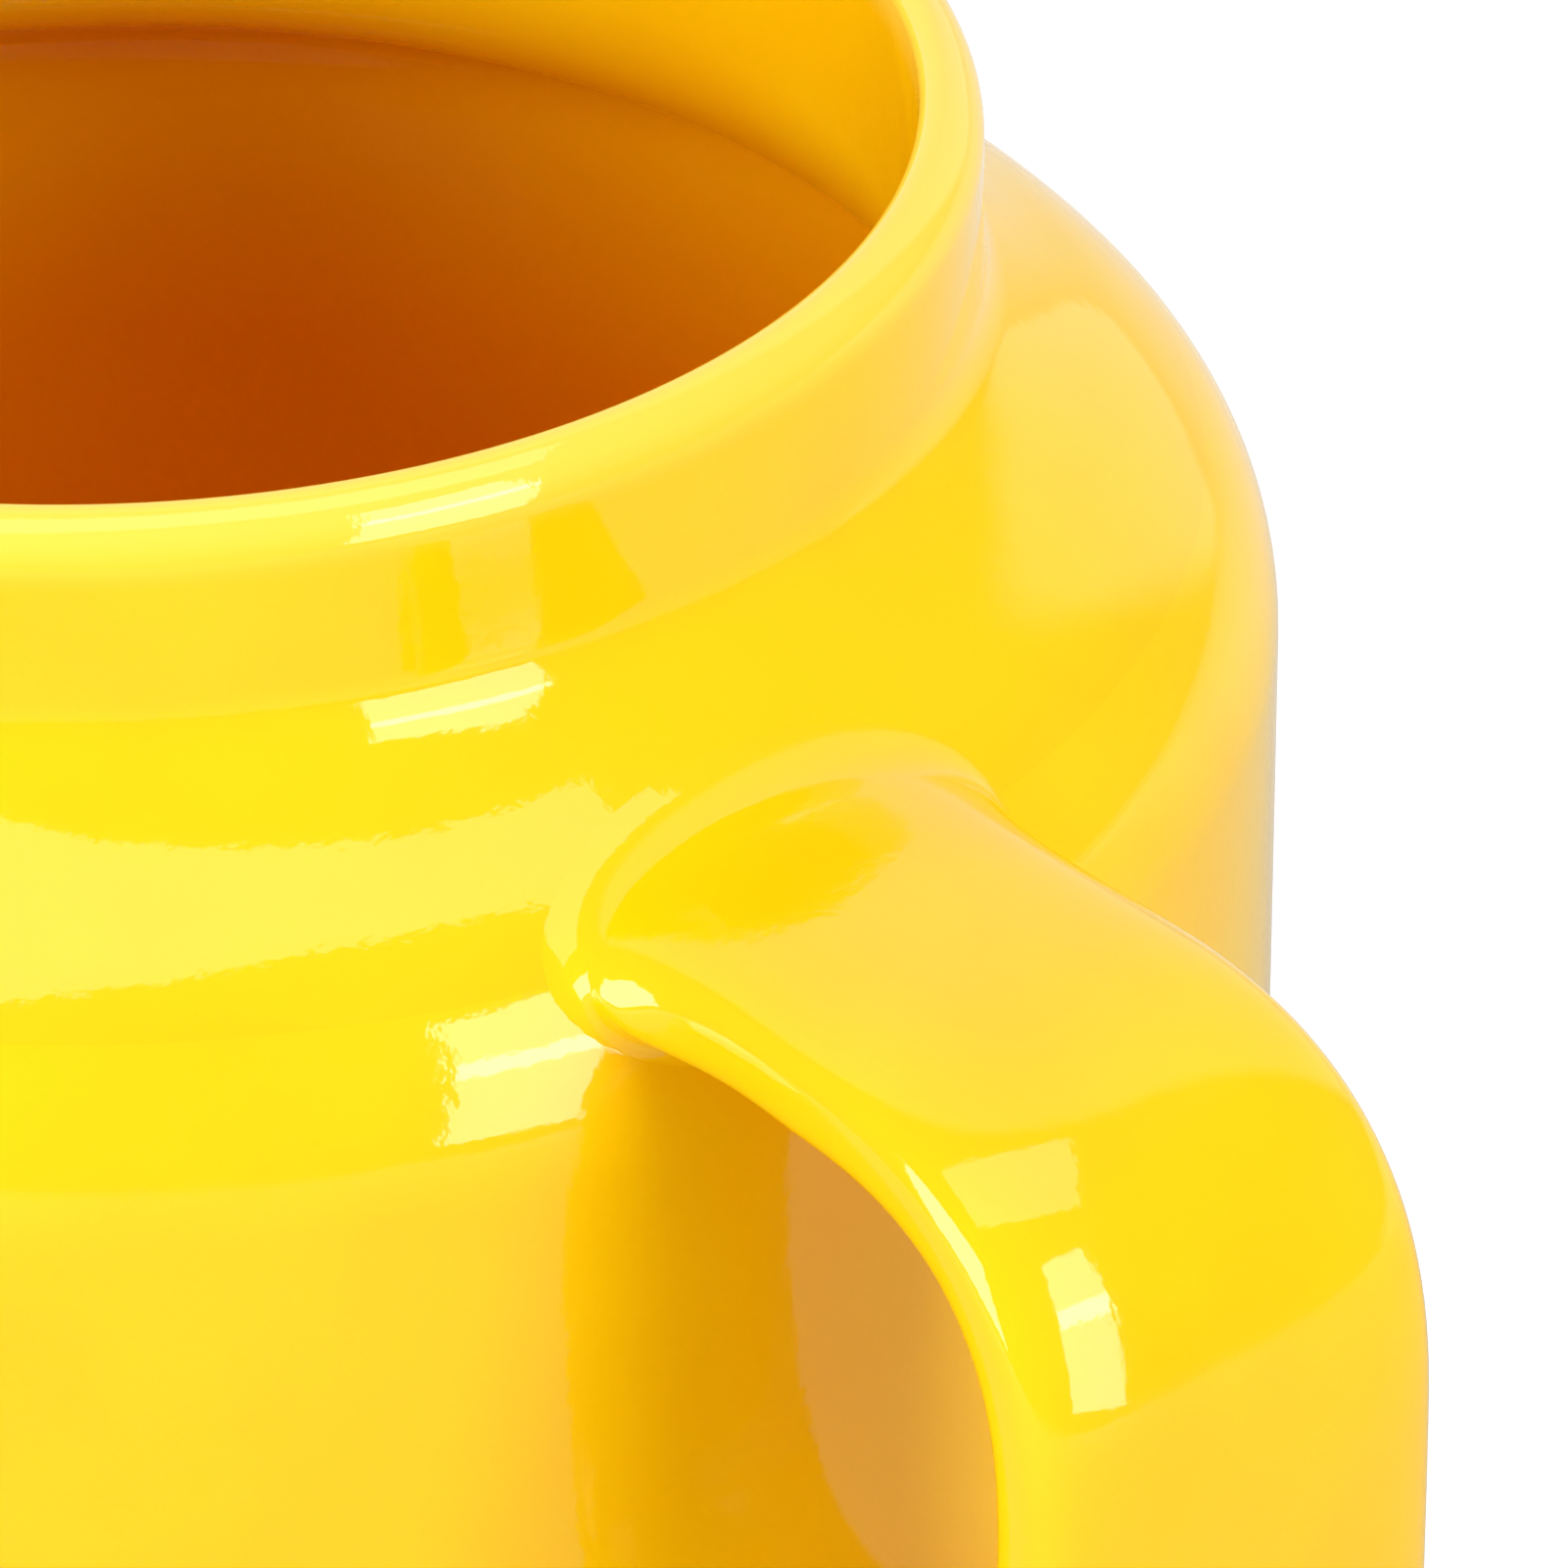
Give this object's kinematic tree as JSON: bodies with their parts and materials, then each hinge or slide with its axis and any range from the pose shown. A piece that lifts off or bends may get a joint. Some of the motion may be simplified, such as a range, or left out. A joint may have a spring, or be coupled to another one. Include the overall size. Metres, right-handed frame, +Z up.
{
  "type": "soup mug",
  "caption": "Round glazed ceramic soup mug with a short neck, a rounded lip and shoulder, a foot ring and a wide strap handle to hold and carry it by.",
  "frame": {"origin": "centre of the foot ring on the surface that the mug stands on", "axes": "+Z up along the mug's axis, +X from the axis towards the handle, +Y to the left of the handle seen from outside"},
  "size_m": [0.1459, 0.116, 0.096],
  "materials": {
    "biscuit": "matte fired clay",
    "slip": "matte fired slip",
    "glaze": "glossy yellow glaze"
  },
  "bodies": {
    "root": {"body": "biscuit", "handle": "biscuit", "upper_slip": "slip", "lower_slip": "slip", "outer_glaze": "glaze", "liner_glaze": "glaze", "handle_glaze": "glaze"}
  },
  "joints": []
}
